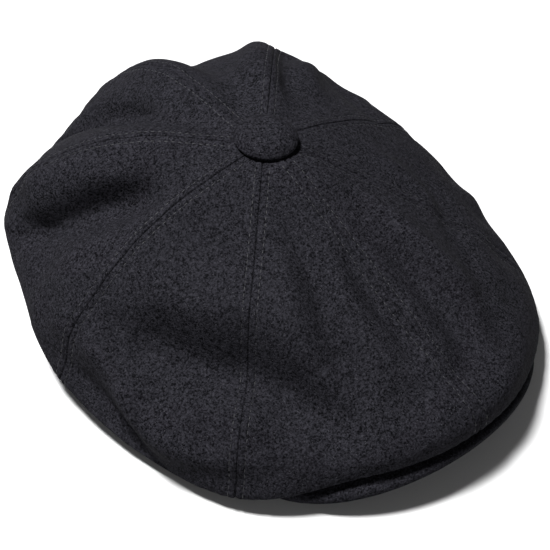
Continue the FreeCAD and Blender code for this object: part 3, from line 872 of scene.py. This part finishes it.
def visorOutline(inset, count):
    half, tipY = visor["half"] - inset, visor["tipY"] - inset
    long = band["headLength"] / 2 + band["faceOffset"] + visor["clearance"] + inset
    wide = band["headWidth"] / 2 + band["faceOffset"] + visor["clearance"] + inset
    tipX = wide * math.sqrt(1 - (tipY / long) ** 2)
    quarter = np.linspace(0, np.pi / 2, 200)
    right = np.stack([-(tipX + (half - tipX) * np.sin(quarter)),
                      visor["widestY"] + (tipY - visor["widestY"]) * np.cos(quarter)], axis=1)
    turn = np.linspace(-np.pi / 2, np.pi / 2, 600)
    front = np.stack([half * np.sin(turn), visor["widestY"] - (visor["reach"] - inset) * np.cos(turn)],
                     axis=1)
    left = right[::-1] * np.array([-1, 1])
    return spaced(np.concatenate([right, front[1:-1], left]), count)


def visorRoot(count):
    long = band["headLength"] / 2 + band["faceOffset"] + visor["clearance"]
    wide = band["headWidth"] / 2 + band["faceOffset"] + visor["clearance"]
    last = math.acos(-visor["tipY"] / long)
    turn = np.linspace(-last, last, 1500)
    return spaced(np.stack([wide * np.sin(turn), -long * np.cos(turn)], axis=1), count)


def visorPlace(side):
    # side is 1 for the top cover and -1 for the one under it
    def place(u, v):
        rows, columns = u.shape
        flatRows = rows - visor["edgeRows"]
        root = visorRoot(columns)
        rim = visorOutline(visor["thick"], columns)
        points = np.zeros((rows, columns, 3))
        for i in range(rows):
            if i < flatRows:
                f = i / (flatRows - 1)
                plan, depth = root + (rim - root) * f, visor["thick"]
            else:
                turn = (i - flatRows + 1) / visor["edgeRows"] * math.pi / 2
                seamDip = 0.35 * math.exp(-((math.pi / 2 - turn) / 0.25) ** 2)
                plan = visorOutline(visor["thick"] * (1 - math.sin(turn)) + seamDip, columns)
                depth = visor["thick"] * math.cos(turn)
            height = visorHeight(plan[:, 0], plan[:, 1], side * depth)
            points[i] = np.concatenate([plan, height[:, None]], axis=1)
        inner = np.clip(v / 0.15, 0, 1) * np.clip((1 - v) / 0.2, 0, 1)
        points[..., 2] += side * visor["ripple"] * noiseAt(points, visor["rippleSize"]) * inner
        return points, np.stack([u * 240, v * 70], axis=-1)
    return place


visorRows = visor["rows"] + visor["edgeRows"] - 1
for name, side in (("top", 1), ("under", -1)):
    cover = cutCloth("visor_" + name + "_cloth", visor["columns"], visorRows, visorPlace(side),
                     visor["cloth"], inside=(0, -120, 28 - side * 60), join=True, smooth=60)
    finishPiece(cover, melton, ["visor_" + name + "_cover"], body="visor")


def weltPlace(u, v):
    # the cloth that joins the visor to the band, closed round its section and at both ends
    columns = u.shape[1]
    plan = visorRoot(columns)
    out = unit(plan)
    marks = np.array([(-1.0, 3.3), (-0.55, 3.5), (-0.12, 2.7), (-0.12, 0), (-0.12, -2.7),
                      (-0.55, -3.1), (-1.0, -2.9), (-1.1, 0), (-1.0, 3.3)])
    q = v[:, 0] * (len(marks) - 1)
    middle = marks[:-1, 0].mean()
    x = np.interp(q, range(len(marks)), marks[:, 0])
    z = np.interp(q, range(len(marks)), marks[:, 1])
    pinch = np.sqrt(np.clip(np.minimum(u[0], 1 - u[0]) / 0.02, 0, 1))
    points = np.zeros(u.shape + (3,))
    for i in range(len(q)):
        spot = plan + out * (middle + (x[i] - middle) * pinch)[:, None]
        height = visorHeight(plan[:, 0], plan[:, 1], 0.0) + z[i] * pinch
        points[i] = np.concatenate([spot, height[:, None]], axis=1)
    return points, np.stack([u * 180, v * 12], axis=-1)


welt = cutCloth("visor_welt", 140, 16, weltPlace, 0.0, inside=(0, -100, 28), join=True, smooth=60)
finishPiece(welt, melton, ["visor_seam_strip"], body=None)
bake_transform(welt)
print("visor covered")


button = {
    "radius": 16.5, "rim": 2.0, "rise": 7.5, "roundness": 2.5, "shoulder": 0.72,
    "tuck": 4.0, "cloth": 1.0, "gathers": 22, "around": 128, "rows": 44, "domeEnd": 0.70,
    "rollEnd": 0.82, "gatherDepth": 0.12, "sag": 0.22, "sagSize": 9,
    "flat": (0.048, 0.048), "flatArea": 0.00178,
}
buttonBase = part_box("button_cover")[0].z / mm


def buttonPlace(u, v):
    # the dome is stretched tight, then gathered under its rim
    angle = u * 2 * np.pi
    domeEnd, rollEnd, rim = button["domeEnd"], button["rollEnd"], button["rim"]
    dome = np.clip(v / domeEnd, 0, 1)
    share = np.sin(dome * np.pi / 2) ** 0.9
    radius = button["radius"] * share
    height = rim + button["rise"] * (1 - share ** button["roundness"]) ** button["shoulder"]
    roll = np.clip((v - domeEnd) / (rollEnd - domeEnd), 0, 1) * np.pi / 2
    radius = np.where(v > domeEnd, button["radius"] - rim * (1 - np.cos(roll)), radius)
    height = np.where(v > domeEnd, rim * (1 - np.sin(roll)), height)
    tuck = np.clip((v - rollEnd) / (1 - rollEnd), 0, 1)
    radius = np.where(v > rollEnd, button["radius"] - rim - (button["tuck"] - rim) * tuck, radius)
    gather = np.clip((v - 0.62) / 0.2, 0, 1) ** 2
    pleat = np.sin(button["gathers"] * angle + 1.3 * np.sin(3 * angle))
    radius = radius * (1 + 0.010 * gather * pleat)
    height = height + button["gatherDepth"] * gather * np.abs(pleat) * np.where(v > 0.8, 1, 0)
    spots = np.stack([np.cos(angle) * radius, np.sin(angle) * radius, np.full(u.shape, 4.0)], axis=-1)
    height = height + button["sag"] * noiseAt(spots, button["sagSize"]) * (1 - gather)
    points = np.stack([radius * np.sin(angle), -radius * np.cos(angle), buttonBase + height], axis=-1)
    return points, np.stack([radius * np.sin(angle), radius * np.cos(angle)], axis=-1)


buttonCloth = cutCloth("button_cloth", button["around"], button["rows"], buttonPlace, button["cloth"],
                       inside=(0, 0, buttonBase + 1.5), join=True, smooth=70)
finishPiece(buttonCloth, melton, ["button_cover"])
print("button covered")


kept = {
    "band_stiffener": plainSolid("buckramCanvas", (0.42, 0.39, 0.33, 1), (0.60, 0.57, 0.50, 1), 0.8, 0.8,
                                 depth=0.15, specular=0.2),
    "visor_board": plainSolid("visorPlastic", (0.012, 0.012, 0.013, 1), (0.024, 0.024, 0.026, 1), 0.5, 0.42),
    "button": plainSolid("zincShell", (0.42, 0.42, 0.43, 1), (0.60, 0.60, 0.61, 1), 0.4, 0.36, 1.0),
    "snap": plainSolid("blackenedBrass", (0.030, 0.029, 0.028, 1), (0.085, 0.080, 0.072, 1), 0.3, 0.34, 1.0),
}
for name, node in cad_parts.items():
    for key, material in kept.items():
        if name.startswith(key) and name != "button_cover":
            node.data.materials.clear()
            node.data.materials.append(material)


floorMaterial, floorShader, floorWire = startMaterial("paleFloor", {
    "Roughness": 0.9, "Specular IOR Level": 0.1})
floorTone = grain(floorWire, floorWire.add("ShaderNodeTexCoord", output=3), 300.0, 2.0)
plug(floorWire, floorShader, Base_Color=blendColours(floorWire, floorTone, (0.52, 0.52, 0.525, 1),
                                                     (0.56, 0.56, 0.56, 1)))
deselect()
bpy.ops.mesh.primitive_plane_add(size=8, location=(0, 0, -0.0004))
floor = bpy.context.object
floor.name = "floor"
floor.data.materials.append(floorMaterial)

view = {"turn": -45.3, "tilt": 46.6, "roll": -4.9, "distance": 0.794, "lens": 87.7,
        "target": (0.031, 0.016, -0.030)}
turn, tilt, roll = (math.radians(view[key]) for key in ("turn", "tilt", "roll"))
back = Vector((math.sin(turn) * math.cos(tilt), -math.cos(turn) * math.cos(tilt), math.sin(tilt)))
right = Vector((math.cos(turn), math.sin(turn), 0))
up = back.cross(right)
cameraX = math.cos(roll) * right - math.sin(roll) * up
cameraY = math.sin(roll) * right + math.cos(roll) * up
pose = Matrix((cameraX, cameraY, back)).transposed().to_4x4()
pose.translation = Vector(view["target"]) + back * view["distance"]
lampDistance = 1.7
camera = bpy.data.objects.new("camera", bpy.data.cameras.new("camera"))
camera.data.lens = view["lens"]
camera.data.sensor_width = 36
camera.matrix_world = pose
bpy.context.scene.collection.objects.link(camera)
bpy.context.scene.camera = camera


def softLight(name, towards, size, power):
    # towards is a direction seen from the camera: right, up and back
    light = bpy.data.lights.new(name, "AREA")
    light.energy = power
    light.size = size
    lamp = bpy.data.objects.new(name, light)
    direction = (towards[0] * right + towards[1] * up + towards[2] * back).normalized()
    lamp.location = Vector((0, 0, 0.05)) + direction * lampDistance
    lamp.rotation_euler = direction.to_track_quat("Z", "Y").to_euler()
    bpy.context.scene.collection.objects.link(lamp)


softLight("key", (-0.33, 0.64, 0.69), 0.32, 80)
softLight("fill", (0.40, -0.50, 0.77), 0.8, 5)
world = bpy.data.worlds.new("studio")
world.use_nodes = True
sky = world.node_tree.nodes["Background"].inputs
sky["Color"].default_value = (1, 1, 1, 1)
sky["Strength"].default_value = 0.10
bpy.context.scene.world = world
bpy.context.scene.view_settings.view_transform = "Standard"
print("camera and lights set")
